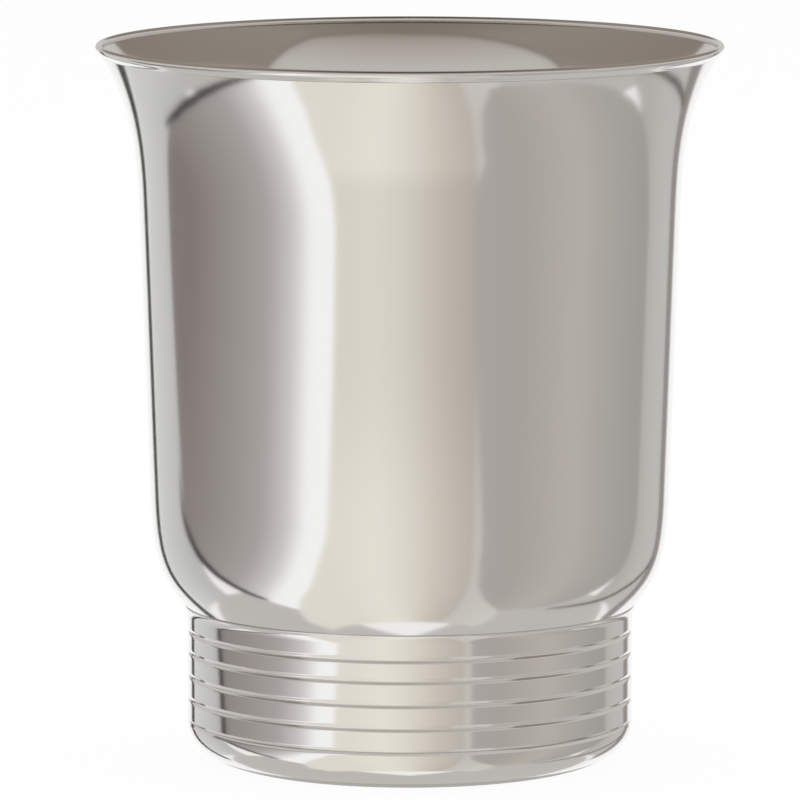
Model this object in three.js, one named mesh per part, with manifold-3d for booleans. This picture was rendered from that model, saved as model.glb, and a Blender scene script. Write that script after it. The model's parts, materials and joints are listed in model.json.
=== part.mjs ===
// Champagne bucket on a ringed foot, spun from plated sheet metal.
// Millimetres, +Z up; the origin is at the centre of the circle that it stands on.
//
// Five sheet, wire and filler pieces are stacked round one axis:
//   bucket_body       flared mouth, nearly straight wall, round shoulder, round-bottomed bowl
//   rim_wire          stiffening wire soldered on the cut edge of the mouth
//   foot_sleeve       straight tube with rolled grooves, its top flanged out against the bowl
//   base_pan          dished pan that closes the foot, with a standing ring and a vent hole
//   *_solder_ring     fillets of filler metal that hold the sleeve to the bowl and the pan
import * as THREE from 'three';
import { mergeVertices } from 'three/addons/utils/BufferGeometryUtils.js';
import Module from 'manifold-3d';

const wasm = await Module();
wasm.setup();

const DEGREE = Math.PI / 180;
const FACETS = 48;            // flats round a full turn
const SHARP_STEPS = 4;        // points on a short curve
const SMOOTH_STEPS = 9;       // points on a long curve
const WIRE_STEPS = 10;        // points round the rim wire, an even number, so that one is on top
const VENT_FACETS = 16;       // flats round the vent hole

// ---- driving dimensions ----
const overallHeight = 230.5;
const mouthDiameter = 200;
const sheet = 1.2;            // wall of the body, the sleeve and the pan
const solderGap = 0.1;        // room for filler between two soldered pieces

const rimWireDiameter = 2.4;
const rimWireFlat = 0.5;      // how much is filed off the wire to seat it on the sheet's edge
const rimWireProud = 0.95;    // how far the wire stands out beyond the sheet

const flareRadius = 82.6;     // outer surface, seen from the side
const flareAngle = 31.6 * DEGREE;      // lean of the wall at the mouth, from upright
const wallAngle = 3.2 * DEGREE;        // lean of the wall at both of its ends

const shoulderAngle = 40 * DEGREE;   // lean of the shoulder where the foot meets it
const shoulderRun = 10.7;            // from there out to the foot of the straight wall
const shoulderRise = 34.8;
const shoulderTension = 12.4;        // length of the shoulder curve's lower handle
const wallTension = 18.6;            // length of its upper handle
const bowlRadius = 30;               // round bottom of the bowl, inside the foot

// The foot is built up from the bottom: round edge, lowest groove, plain bands, flange.
const footDiameter = 142.2;
const seamHeight = 13.8;             // the lowest groove is the joint of sleeve and pan
const lowerBand = 7.5;               // each plain band above it
const lowerBands = 3;
const topBand = 6.7;                 // plain band under the top groove
const collarBand = 5;                // plain band over the top groove
const flangeRadius = 4;              // hollow curve under the sleeve's top flange
const flangeTip = 0.3;               // thickness that is left at the flange's edge
const grooveWidth = 1.1;
const grooveDepth = 0.45;

const lapHeight = 5;                 // spigot of the pan inside the sleeve
const joggleHeight = 2.4;            // slope that sets the spigot in from the pan's wall
const baseEdgeRun = 18.8;            // rounded bottom edge, across
const standingRingWidth = 8.5;
const recessDepth = 2;
const recessRun = 2;                 // slope from the standing ring up to the centre panel
const ventDiameter = 3;
const ventOffset = 28;               // vent hole, from the axis

const fillerLeg = 2;                 // size of the solder fillets

// ---- values worked out from them ----
const mouthRadius = mouthDiameter / 2;
const footRadius = footDiameter / 2;
const footBore = footRadius - sheet;

const rimWireRadius = rimWireDiameter / 2;
const rimWireCentre = new THREE.Vector2(mouthRadius - rimWireRadius, overallHeight - rimWireRadius);
const rimSeatHeight = overallHeight - rimWireDiameter + rimWireFlat;

const halfGroove = grooveWidth / 2;
const baseEdgeRise = seamHeight - halfGroove;
const standingRadius = footRadius - baseEdgeRun;
const grooveHeights = [];
for (let band = 1; band <= lowerBands; band += 1) {
  grooveHeights.push(seamHeight + band * lowerBand);
}
grooveHeights.push(grooveHeights.at(-1) + topBand);

// The flange's tip touches the shoulder where the round bowl begins.
const flangeStart = grooveHeights.at(-1) + collarBand;
const tipRadius = footRadius + flangeRadius * (1 - Math.cos(shoulderAngle));
const tipHeight = flangeStart + flangeRadius * Math.sin(shoulderAngle);
const tipReach = bowlRadius * Math.cos(shoulderAngle);
const tipDrop = Math.sqrt((bowlRadius + solderGap + flangeTip) ** 2 - tipReach ** 2);
const bowlCentre = new THREE.Vector2(tipRadius - tipReach, tipHeight + tipDrop);
const shoulderFootHeight = bowlCentre.y - bowlRadius * Math.sin(shoulderAngle);

// ---- outlines: lists of (radius, height) ----
const point = (radius, height) => new THREE.Vector2(radius, height);

/** Points on a circle about a centre; angles are measured from the outward direction. */
function arc(centre, radius, from, to, steps) {
  const points = [];
  for (let i = 0; i <= steps; i += 1) {
    const angle = THREE.MathUtils.lerp(from, to, i / steps);
    points.push(point(centre.x + radius * Math.cos(angle), centre.y + radius * Math.sin(angle)));
  }
  return points;
}

/** Smooth curve between two points that leaves and arrives at given leans from upright. */
function sweep(start, startLean, startHandle, end, endLean, endHandle, steps) {
  const lean = (angle, length) => point(length * Math.sin(angle), length * Math.cos(angle));
  const curve = new THREE.CubicBezierCurve(
    start,
    start.clone().add(lean(startLean, startHandle)),
    end.clone().sub(lean(endLean, endHandle)),
    end);
  return curve.getPoints(steps);
}

/** The outline moved sideways: to its left, seen along its run, when the distance is positive. */
function offset(points, distance) {
  return points.map((here, i) => {
    const before = points[Math.max(i - 1, 0)];
    const after = points[Math.min(i + 1, points.length - 1)];
    const run = after.clone().sub(before).normalize();
    return point(here.x - run.y * distance, here.y + run.x * distance);
  });
}

/** A rising outline cut off at a height, with a point exactly there. */
function cutAt(points, height) {
  const kept = points.filter((p) => p.y < height);
  const below = kept.at(-1);
  const above = points[points.indexOf(below) + 1];
  const share = (height - below.y) / (above.y - below.y);
  kept.push(point(THREE.MathUtils.lerp(below.x, above.x, share), height));
  return kept;
}

/** Height of the bowl's round underside at a radius, with a clearance below it. */
function underBowl(radius, clearance) {
  const reach = radius - bowlCentre.x;
  return bowlCentre.y - Math.sqrt((bowlRadius + clearance) ** 2 - reach ** 2);
}

// ---- solids ----
/** A turned solid with +Z as its axis. The outline runs up the outside and down the inside. */
function turned(outline) {
  return new THREE.LatheGeometry(outline, FACETS).rotateX(Math.PI / 2);
}

/** A turned ring: its outline is closed on itself. */
function turnedRing(outline) {
  return turned([...outline, outline[0].clone()]);
}

function solidOf(geometry) {
  const bare = geometry.clone();
  bare.deleteAttribute('normal');
  bare.deleteAttribute('uv');
  const merged = mergeVertices(bare);
  return new wasm.Manifold(new wasm.Mesh({
    numProp: 3,
    vertProperties: new Float32Array(merged.attributes.position.array),
    triVerts: new Uint32Array(merged.index.array),
  }));
}

function geometryOf(solid) {
  const mesh = solid.getMesh();
  const geometry = new THREE.BufferGeometry();
  geometry.setAttribute('position', new THREE.BufferAttribute(mesh.vertProperties, 3));
  geometry.setIndex(new THREE.BufferAttribute(mesh.triVerts, 1));
  geometry.computeVertexNormals();
  return geometry;
}

// ---- materials ----
const silverPlate = () => new THREE.MeshStandardMaterial({
  color: 0xd9d6d0, roughness: 0.08, metalness: 1,
});
const silverSolder = () => new THREE.MeshStandardMaterial({
  color: 0xb5b2a8, roughness: 0.45, metalness: 1,
});

// ---- bucket body ----
/** Outer line of the body from the flat of its bottom up to the mouth's cut edge. */
function bodyOuterLine() {
  const bowl = arc(bowlCentre, bowlRadius, -Math.PI / 2, -shoulderAngle, SMOOTH_STEPS);
  const shoulderFoot = point(tipRadius, shoulderFootHeight);
  const wallFoot = point(tipRadius + shoulderRun, shoulderFootHeight + shoulderRise);
  const shoulder = sweep(shoulderFoot, shoulderAngle, shoulderTension,
    wallFoot, wallAngle, wallTension, SMOOTH_STEPS);

  // The flare hangs from the seat of the rim wire, and its centre lies outside the wall.
  const flareCentre = point(
    mouthRadius - rimWireProud + flareRadius * Math.cos(flareAngle),
    rimSeatHeight - flareRadius * Math.sin(flareAngle));
  const flare = arc(flareCentre, flareRadius,
    Math.PI - wallAngle, Math.PI - flareAngle, SMOOTH_STEPS);
  const reach = (flare[0].y - wallFoot.y) / 3;
  const wall = sweep(wallFoot, wallAngle, reach, flare[0], wallAngle, reach, SHARP_STEPS);

  return [...bowl, ...shoulder.slice(1), ...wall.slice(1), ...flare.slice(1)];
}

function bucketBody() {
  const outer = bodyOuterLine();
  const inner = offset(outer, sheet);
  inner[0].set(outer[0].x, outer[0].y + sheet);
  const outline = [
    point(0, outer[0].y),
    ...cutAt(outer, rimSeatHeight),
    ...cutAt(inner, rimSeatHeight).reverse(),
    point(0, inner[0].y),
  ];
  return turned(outline);
}

// ---- rim wire ----
function rimWire() {
  const flatDrop = rimWireCentre.y - rimSeatHeight;
  const flatAngle = Math.asin(flatDrop / rimWireRadius);
  return turnedRing(arc(rimWireCentre, rimWireRadius,
    -flatAngle, Math.PI + flatAngle, WIRE_STEPS));
}

// ---- foot sleeve ----
/** One rolled groove across a straight outer side, from its lower to its upper edge. */
function groove(height) {
  return [
    point(footRadius, height - halfGroove),
    point(footRadius - grooveDepth, height),
    point(footRadius, height + halfGroove),
  ];
}

function footSleeve() {
  const flangeCentre = point(footRadius + flangeRadius, flangeStart);
  const flange = arc(flangeCentre, flangeRadius, Math.PI, Math.PI - shoulderAngle, SHARP_STEPS);
  const seat = [];
  for (let i = 0; i <= SHARP_STEPS; i += 1) {
    const radius = THREE.MathUtils.lerp(tipRadius, footBore, i / SHARP_STEPS);
    seat.push(point(radius, underBowl(radius, solderGap)));
  }
  return turnedRing([
    point(footBore, seamHeight),
    point(footRadius - grooveDepth, seamHeight),
    point(footRadius, seamHeight + halfGroove),
    ...grooveHeights.flatMap(groove),
    ...flange,
    ...seat,
  ]);
}

// ---- base pan ----
function basePan() {
  const edge = [];
  for (let i = 0; i <= SMOOTH_STEPS; i += 1) {
    const turn = (Math.PI / 2) * (i / SMOOTH_STEPS);
    const radius = standingRadius + baseEdgeRun * Math.sin(turn);
    edge.push(point(radius, baseEdgeRise * (1 - Math.cos(turn))));
  }
  const ringInner = standingRadius - standingRingWidth;
  const panelRadius = ringInner - recessRun;
  const spigotRadius = footBore - solderGap;
  const spigotBore = spigotRadius - sheet;
  const innerEdge = offset(edge, sheet).filter((p) => p.y < seamHeight - joggleHeight);
  innerEdge[0].set(standingRadius, sheet);

  const pan = turned([
    point(0, recessDepth),
    point(panelRadius, recessDepth),
    point(ringInner, 0),
    ...edge,
    point(footRadius - grooveDepth, seamHeight),
    point(spigotRadius, seamHeight),
    point(spigotRadius, seamHeight + lapHeight),
    point(spigotBore, seamHeight + lapHeight),
    point(spigotBore, seamHeight),
    ...innerEdge.reverse(),
    point(ringInner, sheet),
    point(panelRadius, recessDepth + sheet),
    point(0, recessDepth + sheet),
  ]);

  const ventRadius = ventDiameter / 2;
  const drillLength = 4 * sheet;
  const drill = new THREE.CylinderGeometry(ventRadius, ventRadius, drillLength, VENT_FACETS);
  drill.rotateX(Math.PI / 2);
  drill.translate(0, ventOffset, recessDepth + sheet / 2);
  return geometryOf(solidOf(pan).subtract(solidOf(drill)));
}

// ---- solder rings ----
function footSolderRing() {
  const outerRadius = footBore - solderGap;
  const outerTop = underBowl(outerRadius, solderGap);
  const innerRadius = outerRadius - fillerLeg;
  return turnedRing([
    point(outerRadius, outerTop - fillerLeg),
    point(outerRadius, outerTop),
    point(innerRadius, underBowl(innerRadius, solderGap)),
  ]);
}

function baseSolderRing() {
  const spigotTop = seamHeight + lapHeight;
  const outerRadius = footBore - solderGap;
  return turnedRing([
    point(outerRadius - sheet, spigotTop),
    point(outerRadius, spigotTop),
    point(outerRadius, spigotTop + fillerLeg),
  ]);
}

// ---- assembly ----
const bucket = new THREE.Group();

function add(name, geometry, material) {
  const mesh = new THREE.Mesh(geometry, material);
  mesh.name = name;
  bucket.add(mesh);
}

add('bucket_body', bucketBody(), silverPlate());
add('rim_wire', rimWire(), silverPlate());
add('foot_sleeve', footSleeve(), silverPlate());
add('base_pan', basePan(), silverPlate());
add('foot_solder_ring', footSolderRing(), silverSolder());
add('base_solder_ring', baseSolderRing(), silverSolder());

export default bucket;
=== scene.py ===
"""Champagne bucket on a ringed foot: its polished pieces and the studio it stands in.

Laid out as an add-on and run as a script. All sizes are in metres, with +Z up and the
origin at the centre of the circle that the bucket stands on.
"""

import json
import math

import bpy
from bpy.props import FloatProperty, FloatVectorProperty, IntProperty, PointerProperty
from bpy.types import Operator, Panel, PropertyGroup
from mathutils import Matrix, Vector


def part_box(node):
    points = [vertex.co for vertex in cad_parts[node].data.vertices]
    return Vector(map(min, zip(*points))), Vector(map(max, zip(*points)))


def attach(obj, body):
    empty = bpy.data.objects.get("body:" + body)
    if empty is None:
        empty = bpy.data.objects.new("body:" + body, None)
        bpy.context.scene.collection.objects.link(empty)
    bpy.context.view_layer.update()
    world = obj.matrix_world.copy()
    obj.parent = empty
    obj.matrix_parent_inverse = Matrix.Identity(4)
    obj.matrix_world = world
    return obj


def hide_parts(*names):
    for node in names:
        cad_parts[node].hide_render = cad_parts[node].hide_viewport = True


bl_info = {
    "name": "Champagne Bucket",
    "version": (1, 0, 0),
    "blender": (4, 5, 0),
    "location": "View3D > Sidebar > Bucket",
    "description": "Builds a polished champagne bucket on a ringed foot, with its studio",
    "category": "Add Mesh",
}

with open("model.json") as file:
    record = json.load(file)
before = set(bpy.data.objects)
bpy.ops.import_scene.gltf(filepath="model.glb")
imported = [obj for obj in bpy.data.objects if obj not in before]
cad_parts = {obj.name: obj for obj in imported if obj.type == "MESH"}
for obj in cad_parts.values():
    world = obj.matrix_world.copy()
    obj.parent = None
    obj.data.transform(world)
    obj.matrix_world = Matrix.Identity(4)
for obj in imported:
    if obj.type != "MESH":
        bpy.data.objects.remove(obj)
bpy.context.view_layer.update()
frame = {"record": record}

BODY_LOW, BODY_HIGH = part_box("bucket_body")
WIRE_LOW, WIRE_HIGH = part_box("rim_wire")
SLEEVE_LOW, SLEEVE_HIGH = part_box("foot_sleeve")
_, PAN_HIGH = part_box("base_pan")
_, UPPER_SOLDER_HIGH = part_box("foot_solder_ring")
LOWER_SOLDER_LOW, LOWER_SOLDER_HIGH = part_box("base_solder_ring")
SLOT_COLOURS = {m["slot"]: m["base_color"] for m in frame["record"]["materials"]}

MM = 0.001
FULL_TURN = 2 * math.pi

# What a point of a skin is marked with: inside or outside, dulled, and open to rolling.
MARKS = ("inside", "tarnish", "rolled")


# ---------------------------------------------------------------------------
# Sizes and colours
# ---------------------------------------------------------------------------
def length(name, description, default):
    return FloatProperty(name=name, description=description, default=default,
                         min=0, precision=5, unit="LENGTH", subtype="DISTANCE")


def angle(name, description, degrees):
    return FloatProperty(name=name, description=description,
                         default=math.radians(degrees), unit="ROTATION", subtype="ANGLE")


def share(name, description, default):
    return FloatProperty(name=name, description=description, default=default,
                         min=0, max=1, subtype="FACTOR")


def colour(name, description, default):
    return FloatVectorProperty(name=name, description=description, default=default,
                               size=3, min=0, max=1, subtype="COLOR")


class BodySizes(PropertyGroup):
    lip_radius: length("Lip Radius", "Outside of the sheet under the rim wire", BODY_HIGH.x)
    lip_height: length("Lip Height", "Seat of the rim wire", BODY_HIGH.z)
    floor_height: length("Floor Height", "Underside of the bowl", BODY_LOW.z)
    waist_radius: length("Waist Radius", "Where the shoulder meets the foot", SLEEVE_HIGH.x)
    sheet: length("Sheet", "Thickness of the spun sheet", 1.2 * MM)
    flare_rise: length("Flare Rise", "Hollow curve under the lip, up", 53.8 * MM)
    flare_run: length("Flare Run", "How far that curve leaves the wall's line", 11.14 * MM)
    wall_angle: angle("Wall Angle", "Lean of the straight wall", 2.14)
    shoulder_angle: angle("Shoulder Angle", "Lean of the shoulder at the foot", 40)
    shoulder_run: length("Shoulder Run", "Shoulder, across", 10.7 * MM)
    shoulder_rise: length("Shoulder Rise", "Shoulder, up", 34.8 * MM)
    shoulder_tension: length("Shoulder Tension", "Lower handle of its curve", 12.4 * MM)
    wall_tension: length("Wall Tension", "Upper handle of its curve", 18.6 * MM)
    bowl_radius: length("Bowl Radius", "Round bottom of the bowl", 30 * MM)


class WireSizes(PropertyGroup):
    outer_radius: length("Outer Radius", "Mouth over the wire", WIRE_HIGH.x)
    top: length("Top", "Highest point of the wire", WIRE_HIGH.z)
    seat: length("Seat", "Flat that sits on the sheet", WIRE_LOW.z)
    diameter: length("Diameter", "Thickness of the wire", 2.4 * MM)
    fillet: length("Fillet", "Solder dressed smooth below the wire", 1.7 * MM)


class FootSizes(PropertyGroup):
    radius: length("Radius", "Outside of the straight foot", PAN_HIGH.x)
    seam: length("Seam", "Height of the lowest groove", SLEEVE_LOW.z)
    band: length("Band", "From groove to groove", 7.5 * MM)
    grooves: IntProperty(name="Grooves", description="Evenly spaced grooves above the seam",
                         default=3, min=0)
    top_band: length("Top Band", "From there to the collar groove", 6.7 * MM)
    collar: length("Collar", "Plain band above the collar groove", 5 * MM)
    groove_width: length("Groove Width", "Across the mouth of a groove", 1.9 * MM)
    groove_depth: length("Groove Depth", "From the band to its bottom", 0.5 * MM)
    flange_radius: length("Flange Radius", "Hollow curve under the body", 4 * MM)
    flange_tip: length("Flange Tip", "Thickness at the edge of the flange", 0.3 * MM)
    solder_gap: length("Solder Gap", "Room for filler metal", 0.1 * MM)


class PanSizes(PropertyGroup):
    top: length("Top", "Top of the spigot inside the sleeve", PAN_HIGH.z)
    edge_run: length("Edge Run", "Rounded bottom edge, across", 18.8 * MM)
    ring_width: length("Ring Width", "Flat ring that it stands on", 8.5 * MM)
    recess_depth: length("Recess Depth", "Centre panel above the ring", 2 * MM)
    recess_run: length("Recess Run", "Slope up to the centre panel", 2 * MM)
    vent_diameter: length("Vent Diameter", "Hole that lets air out of the foot", 3 * MM)
    vent_offset: length("Vent Offset", "Hole, from the axis", 28 * MM)


class FinishSettings(PropertyGroup):
    silver: colour("Silver", "Clean polished plate", (0.90, 0.888, 0.868))
    tarnish: colour("Tarnish", "Dulled plate in the grooves", (0.26, 0.21, 0.17))
    solder: colour("Solder", "Filler metal", SLOT_COLOURS["silver_solder"])
    polish: share("Polish Roughness", "Outside, buffed", 0.022)
    inside_polish: share("Inside Roughness", "Inside, less well buffed", 0.10)
    flats: IntProperty(name="Flats Round", description="Facets of a full turn",
                       default=240, min=24)
    fine_step: length("Fine Step", "Longest step along an outline", 1.7 * MM)


class StudioSettings(PropertyGroup):
    lamp_size: length("Lamp Size", "Side of the overhead softbox", 2.4)
    lamp_height: length("Lamp Height", "Overhead softbox, above the floor", 2.6)
    lamp_power: FloatProperty(name="Lamp Power", description="In watts", default=45, min=0)
    floor_drop: length("Floor Drop", "Floor, below the face that stands on it", 0.1 * MM)
    shade_drop: length("Shade Drop", "Contact shade, below that face", 0.2 * MM)
    shade_margin: length("Shade Margin", "Contact shade, in from the foot", 10 * MM)
    soft_world: share("Soft World", "Light of the world on diffuse surfaces", 0.6)
    camera_distance: length("Camera Distance", "In front of the axis", 2.9)
    camera_height: length("Camera Height", "Above the floor", 0.4884)
    camera_side: FloatProperty(name="Camera Side", description="To the right of the axis",
                               default=-3.13 * MM, unit="LENGTH", subtype="DISTANCE")
    camera_drop: angle("Camera Drop", "How far it looks down", 7.315)
    focal_length: FloatProperty(name="Focal Length", description="Lens, in millimetres",
                                default=412.1, min=1)
    card_centre: length("Card Centre", "Height that the cards are set round", 0.14)
    floor_reach: length("Floor Reach", "Half the width of the floor", 14)
    front_reach: length("Front Reach", "Distance of the front card", 0.57)
    left_reach: length("Left Reach", "Distance of the card at the left", 0.65)
    back_reach: length("Back Reach", "Distance of the cards behind these", 6)
    floor_white: share("Floor White", "Share of the floor's colour that shade can't dim", 0.96)


class BucketSettings(PropertyGroup):
    body: PointerProperty(type=BodySizes)
    wire: PointerProperty(type=WireSizes)
    foot: PointerProperty(type=FootSizes)
    pan: PointerProperty(type=PanSizes)
    finish: PointerProperty(type=FinishSettings)
    studio: PointerProperty(type=StudioSettings)


# ---------------------------------------------------------------------------
# Outlines: lists of Vector((radius, height))
# ---------------------------------------------------------------------------
def at(radius, height):
    return Vector((radius, height))


def arc(centre, radius, start, end, steps):
    """Points on a circle; angles are measured from the outward direction."""
    angles = [start + (end - start) * i / steps for i in range(steps + 1)]
    return [centre + at(math.cos(a), math.sin(a)) * radius for a in angles]


def sweep(start, start_lean, start_handle, end, end_lean, end_handle, steps):
    """Bezier curve that leaves and arrives at given leans from upright."""
    first = start + at(math.sin(start_lean), math.cos(start_lean)) * start_handle
    second = end - at(math.sin(end_lean), math.cos(end_lean)) * end_handle
    points = []
    for i in range(steps + 1):
        t = i / steps
        points.append(start * (1 - t) ** 3 + first * 3 * t * (1 - t) ** 2
                      + second * 3 * t * t * (1 - t) + end * t ** 3)
    return points


def offset(points, distance):
    """The outline moved to its left, seen along its run."""
    moved = []
    for i, here in enumerate(points):
        run = points[min(i + 1, len(points) - 1)] - points[max(i - 1, 0)]
        run.normalize()
        moved.append(here + at(-run.y, run.x) * distance)
    return moved


def rounded(corners, steps=6):
    """Corner points given as (point, fillet radius), with each corner rounded off."""
    points = []
    for i, (corner, radius) in enumerate(corners):
        before = corners[i - 1][0]
        after = corners[(i + 1) % len(corners)][0]
        if radius == 0:
            points.append(corner)
            continue
        back = (before - corner).normalized()
        ahead = (after - corner).normalized()
        half = math.acos(max(-1, min(1, back.dot(ahead)))) / 2
        reach = radius / math.tan(half)
        start, end = corner + back * reach, corner + ahead * reach
        centre = corner + (back + ahead).normalized() * (radius / math.sin(half))
        for k in range(steps + 1):
            mid = start.lerp(end, k / steps) - centre
            points.append(centre + mid.normalized() * radius)
    return points


def refined(points, step):
    """The same outline with no stretch longer than a step."""
    fine = [points[0]]
    for here, after in zip(points, points[1:]):
        pieces = max(1, math.ceil((after - here).length / step))
        fine += [here.lerp(after, k / pieces) for k in range(1, pieces + 1)]
    return fine


def closed(points):
    return points + [points[0].copy()]


def outline_mesh(name, points, marks):
    """A line of edges in the XZ plane; marks are {attribute: one value for each point}."""
    mesh = bpy.data.meshes.new(name)
    edges = [(i, i + 1) for i in range(len(points) - 1)]
    mesh.from_pydata([(p.x, 0, p.y) for p in points], edges, [])
    for mark in MARKS:
        values = marks.get(mark, [0.0] * len(points))
        mesh.attributes.new(mark, "FLOAT", "POINT").data.foreach_set("value", values)
    return mesh


# ---------------------------------------------------------------------------
# Geometry Nodes
# ---------------------------------------------------------------------------
class Tree:
    """A node tree under construction, with short calls for nodes and sums."""

    def __init__(self, tree):
        self.tree = tree
        self.nodes = tree.nodes

    def put(self, source, socket):
        if isinstance(source, bpy.types.NodeSocket):
            self.tree.links.new(source, socket)
        else:
            socket.default_value = source

    def node(self, kind, inputs=None, **settings):
        made = self.nodes.new(kind)
        for key, value in settings.items():
            setattr(made, key, value)
        for key, source in (inputs or {}).items():
            self.put(source, made.inputs[key])
        return made

    def math(self, operation, *values):
        made = self.node("ShaderNodeMath", operation=operation)
        for socket, value in zip(made.inputs, values):
            self.put(value, socket)
        return made.outputs[0]

    def split(self, vector):
        return self.node("ShaderNodeSeparateXYZ", {"Vector": vector}).outputs

    def joined(self, x, y, z):
        return self.node("ShaderNodeCombineXYZ", {"X": x, "Y": y, "Z": z}).outputs[0]


def geometry_tree(name, inputs):
    """A new Geometry Nodes tree with a geometry input, the named ones, and an output."""
    tree = bpy.data.node_groups.new(name, "GeometryNodeTree")
    face = tree.interface
    face.new_socket("Geometry", in_out="INPUT", socket_type="NodeSocketGeometry")
    for label, kind in inputs:
        face.new_socket(label, in_out="INPUT", socket_type=kind)
    face.new_socket("Geometry", in_out="OUTPUT", socket_type="NodeSocketGeometry")
    made = Tree(tree)
    return made, made.node("NodeGroupInput").outputs


def finish_tree(made, geometry, material):
    """Ends a tree in Realize Instances and Set Material."""
    real = made.node("GeometryNodeRealizeInstances", {"Geometry": geometry})
    painted = made.node("GeometryNodeSetMaterial",
                        {"Geometry": real.outputs[0], "Material": material})
    made.node("NodeGroupOutput", {"Geometry": painted.outputs[0]})
    return made.tree


def groove_tree():
    """Rolls evenly spaced grooves into the points of an outline that are marked as rolled."""
    made, given = geometry_tree("Roll Grooves", [
        ("First Groove", "NodeSocketFloat"), ("Band", "NodeSocketFloat"),
        ("Grooves", "NodeSocketInt"), ("Width", "NodeSocketFloat"),
        ("Depth", "NodeSocketFloat"), ("Material", "NodeSocketMaterial")])
    softness, bottom = 0.15, 0.12
    position = made.node("GeometryNodeInputPosition").outputs[0]
    height = made.split(position)[2]
    from_first = made.math("SUBTRACT", height, given["First Groove"])
    nearest = made.math("ROUND", made.math("DIVIDE", from_first, given["Band"]))
    last = made.math("SUBTRACT", given["Grooves"], 1.0)
    number = made.math("MAXIMUM", made.math("MINIMUM", nearest, last), 0.0)
    away = made.math("SUBTRACT", from_first, made.math("MULTIPLY", number, given["Band"]))
    half = made.math("MULTIPLY", given["Width"], 0.5)
    across = made.math("DIVIDE", away, half)
    spread = made.math("SQRT", made.math("ADD", made.math("MULTIPLY", across, across),
                                         bottom * bottom))
    vee = made.math("SMOOTH_MAX", made.math("SUBTRACT", 1.0 + bottom, spread), 0.0, softness)
    mark = made.node("GeometryNodeInputNamedAttribute", {"Name": "rolled"},
                     data_type="FLOAT").outputs["Attribute"]
    dip = made.math("MULTIPLY", vee, mark)
    inward = made.math("MULTIPLY", made.math("MULTIPLY", dip, given["Depth"]), -1.0)
    moved = made.node("GeometryNodeSetPosition", {
        "Geometry": given["Geometry"], "Offset": made.joined(inward, 0.0, 0.0)})
    before = made.node("GeometryNodeInputNamedAttribute", {"Name": "tarnish"},
                       data_type="FLOAT").outputs["Attribute"]
    dulled = made.node("GeometryNodeStoreNamedAttribute", {
        "Geometry": moved.outputs[0], "Name": "tarnish",
        "Value": made.math("MAXIMUM", before, dip)}, data_type="FLOAT", domain="POINT")
    return finish_tree(made, dulled.outputs[0], given["Material"])


def spin_tree():
    """Turns an outline in the XZ plane once round the Z axis into a closed skin."""
    made, given = geometry_tree("Spin Outline", [
        ("Flats Round", "NodeSocketInt"), ("Weld", "NodeSocketFloat"),
        ("Material", "NodeSocketMaterial")])
    outline = given["Geometry"]
    count = made.node("GeometryNodeAttributeDomainSize", {"Geometry": outline})
    columns = made.math("ADD", given["Flats Round"], 1.0)
    grid = made.node("GeometryNodeMeshGrid", {
        "Vertices X": count.outputs["Point Count"], "Vertices Y": columns})
    index = made.node("GeometryNodeInputIndex").outputs[0]
    row = made.math("FLOOR", made.math("DIVIDE", made.math("ADD", index, 0.5), columns))
    column = made.math("SUBTRACT", index, made.math("MULTIPLY", row, columns))

    def sampled(value, kind):
        found = made.node("GeometryNodeSampleIndex", data_type=kind, domain="POINT")
        made.put(outline, found.inputs["Geometry"])
        made.put(value, found.inputs["Value"])
        made.put(row, found.inputs["Index"])
        return found.outputs["Value"]

    position = made.node("GeometryNodeInputPosition").outputs[0]
    radius, _, height = made.split(sampled(position, "FLOAT_VECTOR"))
    turn = made.math("MULTIPLY", column, made.math("DIVIDE", FULL_TURN, given["Flats Round"]))
    placed = made.joined(made.math("MULTIPLY", radius, made.math("SINE", turn)),
                         made.math("MULTIPLY", radius, made.math("COSINE", turn)), height)
    skin = made.node("GeometryNodeSetPosition", {
        "Geometry": grid.outputs["Mesh"], "Position": placed}).outputs[0]
    for mark in MARKS:
        value = made.node("GeometryNodeInputNamedAttribute", {"Name": mark},
                          data_type="FLOAT").outputs["Attribute"]
        skin = made.node("GeometryNodeStoreNamedAttribute", {
            "Geometry": skin, "Name": mark, "Value": sampled(value, "FLOAT")},
            data_type="FLOAT", domain="POINT").outputs[0]
    welded = made.node("GeometryNodeMergeByDistance", {
        "Geometry": skin, "Distance": given["Weld"]})
    smooth = made.node("GeometryNodeSetShadeSmooth", {"Geometry": welded.outputs[0]})
    return finish_tree(made, smooth.outputs[0], given["Material"])


def drill_tree():
    """Drills a round hole along Z through a skin."""
    made, given = geometry_tree("Drill Vent", [
        ("Diameter", "NodeSocketFloat"), ("Offset", "NodeSocketFloat"),
        ("Height", "NodeSocketFloat"), ("Length", "NodeSocketFloat"),
        ("Material", "NodeSocketMaterial")])
    drill = made.node("GeometryNodeMeshCylinder", {
        "Vertices": 48, "Radius": made.math("MULTIPLY", given["Diameter"], 0.5),
        "Depth": given["Length"]})
    moved = made.node("GeometryNodeTransform", {
        "Geometry": drill.outputs["Mesh"],
        "Translation": made.joined(0.0, given["Offset"], given["Height"])})
    cut = made.node("GeometryNodeMeshBoolean", operation="DIFFERENCE", solver="EXACT")
    made.put(given["Geometry"], cut.inputs["Mesh 1"])
    made.put(moved.outputs[0], cut.inputs["Mesh 2"])
    return finish_tree(made, cut.outputs["Mesh"], given["Material"])


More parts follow.
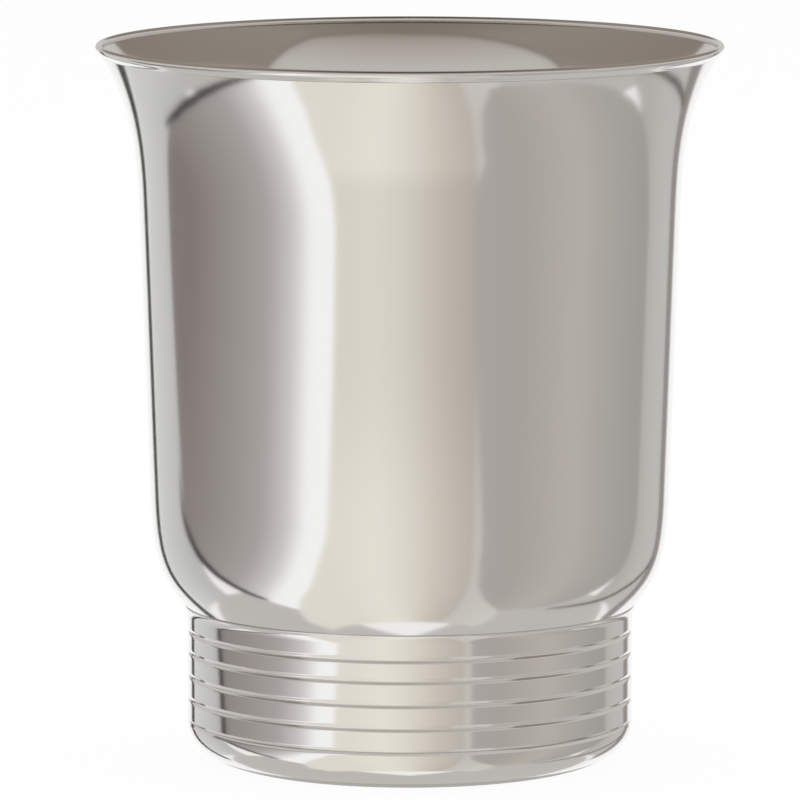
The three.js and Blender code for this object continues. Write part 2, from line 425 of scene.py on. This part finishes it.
def worked(mesh, tree, values):
    """The mesh after a Geometry Nodes tree, as a plain mesh."""
    blank = bpy.data.objects.new("blank", mesh)
    bpy.context.scene.collection.objects.link(blank)
    nodes = blank.modifiers.new(tree.name, "NODES")
    nodes.node_group = tree
    for socket in tree.interface.items_tree:
        if socket.in_out == "INPUT" and socket.name in values:
            nodes[socket.identifier] = values[socket.name]
    graph = bpy.context.evaluated_depsgraph_get()
    made = bpy.data.meshes.new_from_object(
        blank.evaluated_get(graph), preserve_all_data_layers=True, depsgraph=graph)
    blank.modifiers.clear()
    bpy.data.objects.remove(blank)
    bpy.data.meshes.remove(mesh)
    return made


def spun(name, points, material, marks=None):
    """A turned skin made from an outline."""
    finish = bpy.context.scene.bucket.finish
    outline = outline_mesh(name, points, marks or {})
    return worked(outline, spin_tree(), {
        "Flats Round": finish.flats, "Weld": 0.002 * MM, "Material": material})


def piece(name, mesh, nodes):
    """Adds a finished piece that stands for its CAD nodes."""
    mesh.name = name
    made = bpy.data.objects.new(name, mesh)
    bpy.context.scene.collection.objects.link(made)
    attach(made, "root")
    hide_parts(*nodes)
    return made


# ---------------------------------------------------------------------------
# Materials
# ---------------------------------------------------------------------------
def new_material(name):
    material = bpy.data.materials.new(name)
    material.use_nodes = True
    made = Tree(material.node_tree)
    made.nodes.clear()
    return material, made


def mixed(made, factor, first, second):
    """A colour between two colours."""
    mix = made.node("ShaderNodeMix", data_type="RGBA")
    made.put(factor, mix.inputs["Factor"])
    made.put(first, mix.inputs[6])
    made.put(second, mix.inputs[7])
    return mix.outputs[2]


def noise(made, vector, scale, detail=2.0, roughness=0.5):
    return made.node("ShaderNodeTexNoise", {
        "Vector": vector, "Scale": scale, "Detail": detail,
        "Roughness": roughness}).outputs[0]


def mapped(made, value, low, high, to_low, to_high):
    return made.node("ShaderNodeMapRange", {
        "Value": value, "From Min": low, "From Max": high,
        "To Min": to_low, "To Max": to_high}).outputs[0]


def spun_coordinates(made):
    """(turn, run) of a point: its angle round the axis, and its way along the outline."""
    x, y, z = made.split(made.node("ShaderNodeTexCoord").outputs["Object"])
    radius = made.math("SQRT", made.math("ADD", made.math("MULTIPLY", x, x),
                                         made.math("MULTIPLY", y, y)))
    return made.math("ARCTAN2", x, y), made.math("SUBTRACT", z, radius)


def silver_plate():
    """Buffed silver plate: soft smears, fine lines round the axis, dull grooves."""
    finish = bpy.context.scene.bucket.finish
    material, made = new_material("silver_plate")
    place = made.node("ShaderNodeTexCoord").outputs["Object"]
    turn, run = spun_coordinates(made)
    marks = {mark: made.node("ShaderNodeAttribute", attribute_name=mark).outputs["Fac"]
             for mark in MARKS}

    # Lines left by buffing on the lathe, long round the axis and 0.3 mm to 2 mm apart.
    lines = noise(made, made.joined(made.math("MULTIPLY", turn, 0.35), 0.0,
                                    made.math("MULTIPLY", run, 900.0)), 1.0, 3.0, 0.6)
    # Smears from wiping, some 30 mm wide, and cloudy wear of about 6 mm.
    smears = noise(made, place, 32.0, 3.0, 0.55)
    clouds = noise(made, place, 150.0, 4.0, 0.6)
    # Fine wipe marks in many directions: 0.1 mm wide, several millimetres long.
    wipes = made.node("ShaderNodeTexNoise", {
        "Vector": place, "Scale": 420.0, "Detail": 2.0, "Distortion": 1.2}).outputs[0]

    base = made.node("ShaderNodeMix", {"Factor": marks["inside"]}, data_type="FLOAT")
    base.inputs[2].default_value = finish.polish
    base.inputs[3].default_value = finish.inside_polish
    rough = made.math("ADD", base.outputs[0], mapped(made, lines, 0.3, 0.7, -0.004, 0.008))
    rough = made.math("ADD", rough, mapped(made, smears, 0.35, 0.7, -0.004, 0.010))
    rough = made.math("ADD", rough, made.math("MULTIPLY", marks["tarnish"], 0.10))

    warm = mixed(made, mapped(made, clouds, 0.35, 0.75, 0.0, 1.0),
                 (*finish.silver, 1), (*[c * 0.975 for c in finish.silver], 1))
    streaked = mixed(made, mapped(made, lines, 0.35, 0.75, 0.0, 0.5),
                     warm, (*[c * 0.94 for c in finish.silver], 1))
    dull = mixed(made, made.math("MULTIPLY", marks["tarnish"], 0.9),
                 streaked, (*finish.tarnish, 1))

    height = made.math("MULTIPLY", lines, 0.0022)
    height = made.math("ADD", height, made.math("MULTIPLY", wipes, 0.0010))
    height = made.math("ADD", height, made.math("MULTIPLY", smears, 0.018))
    bump = made.node("ShaderNodeBump", {
        "Strength": 1.0, "Distance": 1 * MM, "Height": height})

    shader = made.node("ShaderNodeBsdfPrincipled", {
        "Base Color": dull, "Metallic": 1.0, "Roughness": rough,
        "Normal": bump.outputs[0]})
    made.node("ShaderNodeOutputMaterial", {"Surface": shader.outputs[0]})
    return material


def silver_solder():
    """Filler metal as brazed: dull, lumpy and a little sooty."""
    finish = bpy.context.scene.bucket.finish
    material, made = new_material("silver_solder")
    place = made.node("ShaderNodeTexCoord").outputs["Object"]
    lumps = noise(made, place, 260.0, 4.0, 0.6)
    soot = noise(made, place, 90.0, 3.0, 0.5)
    tint = mixed(made, mapped(made, soot, 0.4, 0.7, 0.0, 0.6),
                 (*finish.solder, 1), (*[c * 0.55 for c in finish.solder], 1))
    bump = made.node("ShaderNodeBump", {"Strength": 0.6, "Distance": 0.2 * MM,
                                        "Height": lumps})
    shader = made.node("ShaderNodeBsdfPrincipled", {
        "Base Color": tint, "Metallic": 1.0,
        "Roughness": mapped(made, lumps, 0.3, 0.7, 0.34, 0.56),
        "Normal": bump.outputs[0]})
    made.node("ShaderNodeOutputMaterial", {"Surface": shader.outputs[0]})
    return material


def shared_material(name, make):
    return bpy.data.materials.get(name) or make()


# ---------------------------------------------------------------------------
# Pieces
# ---------------------------------------------------------------------------
def body_outer_line(sizes):
    """Outside of the body from under the bowl up to the lip."""
    lean = sizes.shoulder_angle
    bowl_centre = at(sizes.waist_radius - sizes.bowl_radius * math.cos(lean),
                     sizes.floor_height + sizes.bowl_radius)
    bowl = arc(bowl_centre, sizes.bowl_radius, -math.pi / 2, -lean, 24)
    wall_foot = bowl[-1] + at(sizes.shoulder_run, sizes.shoulder_rise)
    shoulder = sweep(bowl[-1], lean, sizes.shoulder_tension,
                     wall_foot, sizes.wall_angle, sizes.wall_tension, 40)
    slope = math.tan(sizes.wall_angle)
    flare_steps = 60
    flare_start = at(sizes.lip_radius - sizes.flare_run - slope * sizes.flare_rise,
                     sizes.lip_height - sizes.flare_rise)
    flare = []
    for i in range(flare_steps + 1):
        share_up = i / flare_steps
        rise = sizes.flare_rise * share_up
        flare.append(flare_start + at(slope * rise + sizes.flare_run * share_up ** 3, rise))
    reach = (flare_start.y - wall_foot.y) / 3
    wall = sweep(wall_foot, sizes.wall_angle, reach, flare_start, sizes.wall_angle, reach, 40)
    return bowl + shoulder[1:] + wall[1:] + flare[1:]


class BUCKET_OT_body(Operator):
    """Spin the bucket's body: flared mouth, wall, shoulder and round-bottomed bowl"""
    bl_idname = "bucket.body"
    bl_label = "Bucket Body"

    def execute(self, context):
        sizes = context.scene.bucket.body
        step = context.scene.bucket.finish.fine_step
        outer = body_outer_line(sizes)
        inner = offset(outer, sizes.sheet)
        inner = [p for p in inner if p.y < sizes.lip_height]
        inner_lip = inner[-1] + (inner[-1] - inner[-2]) * (
            (sizes.lip_height - inner[-1].y) / (inner[-1].y - inner[-2].y))
        outside = refined([at(0, sizes.floor_height)] + outer, step)
        inside = refined([inner_lip] + inner[::-1] + [at(0, inner[0].y)], step)
        marks = {"inside": [0.0] * len(outside) + [1.0] * len(inside)}
        mesh = spun("bucket_body", outside + inside,
                    shared_material("silver_plate", silver_plate), marks)
        piece("bucket_body_spun", mesh, ["bucket_body"])
        return {"FINISHED"}


class BUCKET_OT_rim_wire(Operator):
    """Turn the round wire that stiffens the mouth"""
    bl_idname = "bucket.rim_wire"
    bl_label = "Rim Wire"

    def execute(self, context):
        sizes = context.scene.bucket.wire
        radius = sizes.diameter / 2
        centre = at(sizes.outer_radius - radius, sizes.top - radius)
        flat = math.asin((centre.y - sizes.seat) / radius)
        bead = arc(centre, radius, -flat, math.pi, 40)
        body = context.scene.bucket.body
        sheet_line = body_outer_line(body)
        start = min(sheet_line, key=lambda p: abs(sizes.seat - sizes.fillet - p.y))
        lean = math.atan(math.tan(body.wall_angle) + 3 * body.flare_run / body.flare_rise)
        blend = sweep(start, lean, sizes.fillet * 0.4, bead[0], flat, sizes.fillet * 0.4, 10)
        points = blend[:-1] + bead + [at(bead[-1].x, sizes.seat)]
        mesh = spun("rim_wire", closed(points),
                    shared_material("silver_plate", silver_plate))
        piece("rim_wire_turned", mesh, ["rim_wire"])
        return {"FINISHED"}


def under_bowl(body, radius, clearance):
    """Height of the bowl's underside at a radius, with a clearance below it."""
    reach = radius - (body.waist_radius - body.bowl_radius * math.cos(body.shoulder_angle))
    drop = math.sqrt((body.bowl_radius + clearance) ** 2 - reach ** 2)
    return body.floor_height + body.bowl_radius - drop


class BUCKET_OT_foot_sleeve(Operator):
    """Spin the straight foot, roll its grooves and flange it out under the body"""
    bl_idname = "bucket.foot_sleeve"
    bl_label = "Foot Sleeve"

    def execute(self, context):
        body = context.scene.bucket.body
        sizes = context.scene.bucket.foot
        material = shared_material("silver_plate", silver_plate)
        bore = sizes.radius - body.sheet
        half = sizes.groove_width / 2
        collar_groove = sizes.seam + sizes.grooves * sizes.band + sizes.top_band
        flange_start = collar_groove + sizes.collar
        rolling_step = 0.13 * MM

        chamfer = [at(bore, sizes.seam), at(sizes.radius - sizes.groove_depth, sizes.seam)]
        rolled = refined([at(sizes.radius, sizes.seam + half),
                          at(sizes.radius, flange_start)], rolling_step)
        flange = arc(at(sizes.radius + sizes.flange_radius, flange_start),
                     sizes.flange_radius, math.pi, math.pi - body.shoulder_angle, 16)[1:]
        edge = at(flange[-1].x, under_bowl(body, flange[-1].x, 0))
        reach = edge.x - bore
        radii = [edge.x - reach * i / 10 for i in range(11)]
        seat = [edge] + [at(r, under_bowl(body, r, sizes.solder_gap)) for r in radii[1:]]
        bore_line = refined([seat[-1], chamfer[0]], 4 * MM)[1:]

        lead = refined(chamfer + [rolled[0]], 0.25 * MM)[:-1]
        points = lead + rolled + flange + seat + bore_line
        marks = {"rolled": [0.0] * len(lead) + [1.0] * len(rolled)
                 + [0.0] * (len(flange) + len(seat) + len(bore_line)),
                 "tarnish": [1.0] * len(lead) + [0.0] * len(rolled)
                 + [0.0] * len(flange)
                 + [0.1] + [0.6] * (len(seat) - 1) + [0.3] * len(bore_line)}
        mesh = outline_mesh("foot_sleeve", points, marks)
        tree = groove_tree()
        common = {"Band": sizes.band, "Width": sizes.groove_width,
                  "Depth": sizes.groove_depth, "Material": material}
        mesh = worked(mesh, tree, {**common, "First Groove": sizes.seam + sizes.band,
                                   "Grooves": sizes.grooves})
        mesh = worked(mesh, tree, {**common, "First Groove": collar_groove, "Grooves": 1})
        mesh = worked(mesh, spin_tree(), {
            "Flats Round": context.scene.bucket.finish.flats, "Weld": 0.002 * MM,
            "Material": material})
        piece("foot_sleeve_spun", mesh, ["foot_sleeve"])
        return {"FINISHED"}


class BUCKET_OT_base_pan(Operator):
    """Spin the dished pan that closes the foot, and drill its vent"""
    bl_idname = "bucket.base_pan"
    bl_label = "Base Pan"

    def execute(self, context):
        sheet = context.scene.bucket.body.sheet
        foot = context.scene.bucket.foot
        sizes = context.scene.bucket.pan
        material = shared_material("silver_plate", silver_plate)
        edge_rise = foot.seam - foot.groove_width / 2
        standing = foot.radius - sizes.edge_run
        ring_inner = standing - sizes.ring_width
        panel = ring_inner - sizes.recess_run
        spigot = foot.radius - sheet - foot.solder_gap
        soft = 0.6 * MM

        steps = 60
        edge = []
        for i in range(steps + 1):
            turn = math.pi / 2 * i / steps
            edge.append(at(standing + sizes.edge_run * math.sin(turn),
                           edge_rise * (1 - math.cos(turn))))
        below = rounded([(at(0, sizes.recess_depth), 0),
                         (at(panel, sizes.recess_depth), soft),
                         (at(ring_inner, 0), soft),
                         (edge[0], 0)])
        joint = rounded([(edge[-1], 0),
                         (at(foot.radius - foot.groove_depth, foot.seam), 0.08 * MM),
                         (at(spigot, foot.seam), 0.15 * MM),
                         (at(spigot, sizes.top), 0.3 * MM),
                         (at(spigot - sheet, sizes.top), 0.3 * MM),
                         (at(spigot - sheet, foot.seam), 0)])
        inner_edge = [p for p in offset(edge, sheet) if p.y < foot.seam - 2 * sheet]
        above = rounded([(inner_edge[0], 0),
                         (at(ring_inner, sheet), soft),
                         (at(panel, sizes.recess_depth + sheet), soft),
                         (at(0, sizes.recess_depth + sheet), 0)])
        outside = refined(below[:-1] + edge + joint[1:], 1.2 * MM)
        inside = refined([outside[-1]] + inner_edge[::-1] + above[1:], 2.5 * MM)[1:]
        seam = [1.0 if p.y > edge_rise else 0.0 for p in outside]
        under = [0.25 if p.x < ring_inner and p.y <= sizes.recess_depth else mark
                 for p, mark in zip(outside, seam)]
        marks = {"inside": [0.0] * len(outside) + [1.0] * len(inside),
                 "tarnish": under + [0.3] * len(inside)}
        mesh = spun("base_pan", outside + inside, material, marks)
        mesh = worked(mesh, drill_tree(), {
            "Diameter": sizes.vent_diameter, "Offset": sizes.vent_offset,
            "Height": sizes.recess_depth + sheet / 2, "Length": 4 * sheet,
            "Material": material})
        piece("base_pan_spun", mesh, ["base_pan"])
        return {"FINISHED"}


class BUCKET_OT_solder_rings(Operator):
    """Lay the two fillets of filler metal inside the foot"""
    bl_idname = "bucket.solder_rings"
    bl_label = "Solder Rings"

    def execute(self, context):
        material = shared_material("silver_solder", silver_solder)
        body = context.scene.bucket.body
        gap = context.scene.bucket.foot.solder_gap
        upper_out, upper_in = UPPER_SOLDER_HIGH.x, UPPER_SOLDER_HIGH.x - 2 * MM
        roof = [at(upper_out + (upper_in - upper_out) * i / 8, 0) for i in range(9)]
        roof = [at(p.x, under_bowl(body, p.x, gap)) for p in roof]
        low = at(upper_out, roof[0].y - 2 * MM)
        hollow = sweep(roof[-1], math.radians(80), 0, low, math.radians(175), 0, 8)
        upper = closed(refined([low] + roof + hollow[1:-1], 0.5 * MM))
        mesh = spun("foot_solder_ring", upper, material)
        piece("foot_solder_fillet", mesh, ["foot_solder_ring"])

        low, high = LOWER_SOLDER_LOW, LOWER_SOLDER_HIGH
        width = body.sheet
        lower = closed(rounded([(at(high.x - width, low.z), 0.05 * MM),
                                (at(high.x, low.z), 0.05 * MM),
                                (at(high.x, high.z), 0.05 * MM)], 3))
        mesh = spun("base_solder_ring", lower, material)
        piece("base_solder_fillet", mesh, ["base_solder_ring"])
        return {"FINISHED"}


# ---------------------------------------------------------------------------
# Studio
# ---------------------------------------------------------------------------
def paint(red, green, blue):
    """Linear colour of a screen colour given from 0 to 255."""
    values = []
    for part in (red, green, blue):
        part /= 255
        values.append(part / 12.92 if part <= 0.04045 else ((part + 0.055) / 1.055) ** 2.4)
    return values


def toward(azimuth, elevation):
    """Direction from the bucket; azimuth 0 is the front and 90 the right, in degrees."""
    a, e = math.radians(azimuth), math.radians(elevation)
    return Vector((math.sin(a) * math.cos(e), -math.cos(a) * math.cos(e), math.sin(e)))


def only_reflected(card):
    card.visible_camera = False
    card.visible_diffuse = False
    card.visible_shadow = False
    card.visible_transmission = False
    card.visible_volume_scatter = False


def stage_mesh(name, points, faces, material):
    mesh = bpy.data.meshes.new(name)
    mesh.from_pydata(points, [], faces)
    mesh.materials.append(material)
    made = bpy.data.objects.new(name, mesh)
    bpy.context.scene.collection.objects.link(made)
    return made


def card_paint(name, stops, along=None, glow=None):
    """A lit card whose colour runs with the azimuth through (degrees, colour) stops.

    With a direction given as along, it runs instead with the angle up toward that.
    Glow is (elevation, share, elevation, share) of the light it gives.
    """
    material, made = new_material(name)
    place = made.node("ShaderNodeTexCoord").outputs["Object"]
    way = made.node("ShaderNodeVectorMath", {0: place}, operation="NORMALIZE").outputs[0]
    x, y, z = made.split(way)
    if along:
        rise = made.node("ShaderNodeVectorMath", {0: way, 1: along},
                         operation="DOT_PRODUCT").outputs["Value"]
        degrees = made.math("DEGREES", made.math("ARCSINE", rise))
    else:
        degrees = made.math("DEGREES",
                            made.math("ARCTAN2", x, made.math("MULTIPLY", y, -1.0)))
    first, last = stops[0][0], stops[-1][0]
    ramp = made.node("ShaderNodeValToRGB",
                     {"Fac": mapped(made, degrees, first, last, 0.0, 1.0)})
    band = ramp.color_ramp
    while len(band.elements) < len(stops):
        band.elements.new(0.5)
    silver = bpy.context.scene.bucket.finish.silver
    for element, (stop, shade) in zip(band.elements, stops):
        element.position = (stop - first) / (last - first)
        element.color = (*[c / s for c, s in zip(shade, silver)], 1)
    strength = 1.0
    if glow:
        elevation = made.math("DEGREES", made.math("ARCSINE", z))
        low, low_share, high, high_share = glow
        strength = mapped(made, elevation, low, high, low_share, high_share)
    light = made.node("ShaderNodeEmission", {"Color": ramp.outputs[0], "Strength": strength})
    made.node("ShaderNodeOutputMaterial", {"Surface": light.outputs[0]})
    return material


def card(name, reach, rows, paint_settings):
    """A card that only the metal sees, from rows of (azimuth, elevation) directions."""
    points = [toward(*stop) * reach for row in rows for stop in row]
    width = len(rows[0])
    faces = [(i, i + 1, i + width + 1, i + width)
             for start in range(0, width * (len(rows) - 1), width)
             for i in range(start, start + width - 1)]
    made = stage_mesh(name, points, faces, card_paint(name, **paint_settings))
    made.location.z = bpy.context.scene.bucket.studio.card_centre
    only_reflected(made)


def hung(top, lower_edge):
    """Rows of a card that hangs from an even height down to an edge."""
    return [[(azimuth, top + (low - top) * i / 7) for azimuth, low in lower_edge]
            for i in range(8)]


def strip(name, reach, path, widths, shade):
    """A narrow gap or tape between cards, along a path of (azimuth, elevation)."""
    directions = [toward(*stop) for stop in path]
    points = []
    for i, here in enumerate(directions):
        run = directions[min(i + 1, len(path) - 1)] - directions[max(i - 1, 0)]
        side = here.cross(run).normalized() * math.tan(math.radians(widths[i] / 2))
        points += [(here - side) * reach, (here + side) * reach]
    faces = [(2 * i, 2 * i + 1, 2 * i + 3, 2 * i + 2) for i in range(len(path) - 1)]
    made = stage_mesh(name, points, faces, card_paint(name, [(-180, shade), (180, shade)]))
    made.location.z = bpy.context.scene.bucket.studio.card_centre
    only_reflected(made)


def even(shade):
    return {"stops": [(-180, shade), (180, shade)]}


def around(elevations, turns):
    """Rows that go once round, or part of the way, at each elevation."""
    return [[(azimuth, elevation) for azimuth in turns] for elevation in elevations]


def studio_cards():
    """The tent of cards round the bucket."""
    studio = bpy.context.scene.bucket.studio
    front, left, back = studio.front_reach, studio.left_reach, studio.back_reach
    # Each row of the front card is (elevation, left azimuth, right azimuth).
    front_edges = [(2, -27, 25), (-10, -31, 26.5), (-16, -34.5, 30), (-24, -39.5, 29.5),
                   (-36, -46, 31), (-47.5, -58, 38), (-57.5, -71, 54), (-64, -80, 60),
                   (-71, -78, 62)]
    card("front_card", front, [
        [(a + (b - a) * i / 8, e) for i in range(9)] for e, a, b in front_edges], {
            "stops": [(-34, paint(215, 210, 200)), (-14, paint(221, 217, 206)),
                      (-3, paint(215, 210, 200)), (12, paint(195, 188, 178)),
                      (26, paint(178, 171, 162)), (27, paint(191, 187, 182)),
                      (33, paint(191, 187, 182)), (60, paint(200, 196, 190))],
            "glow": (-15, 1.12, -10.5, 1.0)})
    card("left_card", left, hung(2, [
        (-118, -6), (-116, -11), (-112, -17), (-101, -26), (-92.5, -33), (-87, -39.5),
        (-79, -47.5), (-70, -55), (-60, -59), (-45, -62), (-28, -62), (-10, -62)]), {
            "along": (0.8124, -0.4059, -0.4188),
            "stops": [(-56, paint(130, 122, 119)), (-49, paint(141, 134, 131)),
                      (-26, paint(170, 164, 162)), (-16, paint(205, 201, 200)),
                      (-9, paint(246, 246, 246)), (1, paint(250, 250, 250))]})
    strip("left_seam", left * 0.97, [
        (-117, -13), (-109, -18.5), (-101, -25.5), (-93.5, -33), (-87, -39.5), (-79, -46)],
        (0.8, 2.6, 3.4, 3.4, 3.0, 1.8), paint(30, 30, 29))
    card("right_card", back, hung(2, [
        (10, -50), (32, -60), (55, -60), (73, -56), (90, -50), (105, -39), (112.5, -30),
        (118, -19), (122, -9), (124, -5)]), {
            "stops": [(32, paint(172, 167, 163)), (48, paint(171, 165, 160)),
                      (76, paint(184, 178, 170)), (97, paint(170, 166, 161)),
                      (121, paint(160, 157, 152))]})
    card("rear_left_card", back * 1.2, hung(2, [(-148, -32), (-132, -36), (-112, -38)]), {
        "stops": [(-147, paint(209, 208, 206)), (-130, paint(198, 197, 195)),
                  (-116, paint(188, 187, 185))]})
    card("rear_right_card", back * 1.2, hung(2, [(115, -38), (132, -36), (150, -32)]), {
        "stops": [(118, paint(178, 176, 172)), (132, paint(188, 186, 182)),
                  (150, paint(190, 188, 184))]})
    strip("rear_left_gap", back, [(-153, 2), (-153, -18), (-153, -34)], (6.5, 6.5, 4),
          paint(26, 25, 21))
    strip("rear_right_gap", back, [(151, 2), (151, -18), (151, -34)], (9, 9, 6),
          paint(142, 135, 132))
    strip("right_seam", back * 0.97, [
        (148, -15), (141, -21.5), (134, -28), (126, -36), (112, -44), (95, -51)],
        (1.2, 1.8, 2.0, 1.8, 1.6, 0.8), paint(80, 77, 72))
    for name, turns in (("lower_left", (-180, -150, -120, -90, -62)),
                        ("lower_right", (52, 90, 120, 150, 180))):
        card(name, back * 1.4, around((-36, -60, -76, -88), turns),
             even(paint(190, 187, 183)))
    # The dark ceiling hangs lower at the back than at the front.
    edge = [(-180, 11), (-150, 13), (-120, 20), (-90, 26), (-72, 31), (-64, 38), (-54, 45),
            (-40, 51), (0, 55.5), (36, 52.5), (50, 50), (60, 42), (66, 32), (72, 30),
            (90, 28), (120, 20), (150, 13), (180, 11)]
    levels = [[(azimuth, low + (89 - low) * i / 6) for azimuth, low in edge]
              for i in range(7)]
    card("ceiling", back, levels, {
        "along": (0.0, 0.0, 1.0),
        "stops": [(12, paint(131, 121, 112)), (50, paint(143, 134, 125)),
                  (62, paint(122, 113, 105)), (75, paint(84, 75, 68)),
                  (90, paint(56, 49, 43))]})
    strip("arch_line", back * 0.97, [
        (70, 26), (66, 33), (60, 42), (50, 50), (36, 53), (0, 55.5), (-26, 53.5),
        (-42, 49.5), (-56, 43.5), (-66, 37), (-72, 30)], (1.6,) * 11, paint(110, 101, 93))
    card("upper_wall", back * 1.4, around((-2, 10, 25, 45, 60), range(-180, 181, 15)), {
        "along": (0.0, 0.0, 1.0),
        "stops": [(5, paint(196, 192, 188)), (36, paint(188, 184, 179)),
                  (50, paint(168, 159, 151)), (56, paint(140, 130, 122))]})


def floor_paint():
    """White floor that keeps a soft shadow and is clear from below."""
    studio = bpy.context.scene.bucket.studio
    material, made = new_material("studio_floor")
    path = made.node("ShaderNodeLightPath").outputs
    seen = made.math("MAXIMUM", path["Is Camera Ray"],
                     made.math("MAXIMUM", path["Is Glossy Ray"],
                               path["Is Transmission Ray"]))
    card_white = made.node("ShaderNodeBsdfDiffuse", {"Color": (0.93, 0.93, 0.93, 1)})
    even = made.node("ShaderNodeEmission", {"Color": (1, 1, 1, 1), "Strength": 1.0})
    top = made.node("ShaderNodeMixShader", {
        "Fac": made.math("MULTIPLY", seen, studio.floor_white)})
    made.put(card_white.outputs[0], top.inputs[1])
    made.put(even.outputs[0], top.inputs[2])
    below = made.node("ShaderNodeNewGeometry").outputs["Backfacing"]
    both = made.node("ShaderNodeMixShader", {"Fac": below})
    made.put(top.outputs[0], both.inputs[1])
    made.put(made.node("ShaderNodeBsdfTransparent").outputs[0], both.inputs[2])
    made.node("ShaderNodeOutputMaterial", {"Surface": both.outputs[0]})
    return material


def studio_floor():
    studio = bpy.context.scene.bucket.studio
    reach, low = studio.floor_reach, -studio.floor_drop
    corners = [(-reach, -reach, low), (reach, -reach, low), (reach, reach, low),
               (-reach, reach, low)]
    floor = stage_mesh("studio_floor", corners, [(0, 1, 2, 3)], floor_paint())
    floor.visible_glossy = False

    # The shade where the rounded edge of the foot comes down to the floor.
    foot = bpy.context.scene.bucket.foot
    pan = bpy.context.scene.bucket.pan
    inner, outer = foot.radius - pan.edge_run, foot.radius - studio.shade_margin
    sides = 96
    points = []
    for i in range(sides):
        turn = FULL_TURN * i / sides
        points += [(math.cos(turn) * r, math.sin(turn) * r, -studio.shade_drop)
                   for r in (inner, outer)]
    faces = [(2 * i, 2 * i + 1, (2 * i + 3) % (2 * sides), (2 * i + 2) % (2 * sides))
             for i in range(sides)]
    shade = stage_mesh("contact_shade", points, faces, card_paint("contact_shade", [
        (-180, paint(170, 167, 163)), (180, paint(170, 167, 163))]))
    only_reflected(shade)


def studio_world():
    world = bpy.data.worlds.new("studio_world")
    world.use_nodes = True
    soft_share = bpy.context.scene.bucket.studio.soft_world
    made = Tree(world.node_tree)
    made.nodes.clear()
    path = made.node("ShaderNodeLightPath").outputs
    seen = made.math("MAXIMUM", path["Is Camera Ray"],
                     made.math("MAXIMUM", path["Is Glossy Ray"],
                               path["Is Transmission Ray"]))
    soft = made.node("ShaderNodeBackground", {"Color": (1, 1, 1, 1), "Strength": soft_share})
    white = made.node("ShaderNodeBackground", {"Color": (1, 1, 1, 1), "Strength": 1.0})
    mix = made.node("ShaderNodeMixShader", {"Fac": seen})
    made.put(soft.outputs[0], mix.inputs[1])
    made.put(white.outputs[0], mix.inputs[2])
    made.node("ShaderNodeOutputWorld", {"Surface": mix.outputs[0]})
    bpy.context.scene.world = world


def studio_lamp():
    studio = bpy.context.scene.bucket.studio
    lamp = bpy.data.lights.new("overhead_softbox", "AREA")
    lamp.shape = "SQUARE"
    lamp.size = studio.lamp_size
    lamp.energy = studio.lamp_power
    made = bpy.data.objects.new("overhead_softbox", lamp)
    made.location = (0, 0, studio.lamp_height)
    made.visible_camera = False
    made.visible_glossy = False
    bpy.context.scene.collection.objects.link(made)


def studio_camera():
    studio = bpy.context.scene.bucket.studio
    lens = bpy.data.cameras.new("studio_camera")
    lens.lens = studio.focal_length
    lens.clip_end = 100
    made = bpy.data.objects.new("studio_camera", lens)
    made.location = (studio.camera_side, -studio.camera_distance, studio.camera_height)
    made.rotation_euler = (math.pi / 2 - studio.camera_drop, 0, 0)
    bpy.context.scene.collection.objects.link(made)
    bpy.context.scene.camera = made


class BUCKET_OT_stage(Operator):
    """Set up the camera, the floor, the lamp, the world and the cards"""
    bl_idname = "bucket.stage"
    bl_label = "Studio"

    def execute(self, context):
        studio_camera()
        studio_floor()
        studio_lamp()
        studio_world()
        studio_cards()
        context.scene.view_settings.view_transform = "Standard"
        return {"FINISHED"}


class BUCKET_PT_panel(Panel):
    """Sizes, finishes and the steps that build the bucket"""
    bl_label = "Champagne Bucket"
    bl_idname = "BUCKET_PT_panel"
    bl_space_type = "VIEW_3D"
    bl_region_type = "UI"
    bl_category = "Bucket"

    def draw(self, context):
        settings = context.scene.bucket
        for operator in OPERATORS:
            self.layout.operator(operator.bl_idname)
        for label in ("body", "wire", "foot", "pan", "finish", "studio"):
            box = self.layout.box()
            box.label(text=label.capitalize())
            group = getattr(settings, label)
            for name in group.__annotations__:
                box.prop(group, name)


GROUPS = (BodySizes, WireSizes, FootSizes, PanSizes, FinishSettings, StudioSettings,
          BucketSettings)
OPERATORS = (BUCKET_OT_stage, BUCKET_OT_body, BUCKET_OT_rim_wire, BUCKET_OT_foot_sleeve,
             BUCKET_OT_base_pan, BUCKET_OT_solder_rings)


def register():
    for kind in (*GROUPS, *OPERATORS, BUCKET_PT_panel):
        bpy.utils.register_class(kind)
    bpy.types.Scene.bucket = PointerProperty(type=BucketSettings)


def unregister():
    del bpy.types.Scene.bucket
    for kind in (BUCKET_PT_panel, *reversed(OPERATORS), *reversed(GROUPS)):
        bpy.utils.unregister_class(kind)


def main():
    register()
    bpy.ops.bucket.stage()
    bpy.ops.bucket.body()
    bpy.ops.bucket.rim_wire()
    bpy.ops.bucket.foot_sleeve()
    bpy.ops.bucket.base_pan()
    bpy.ops.bucket.solder_rings()


if __name__ == "__main__":
    main()
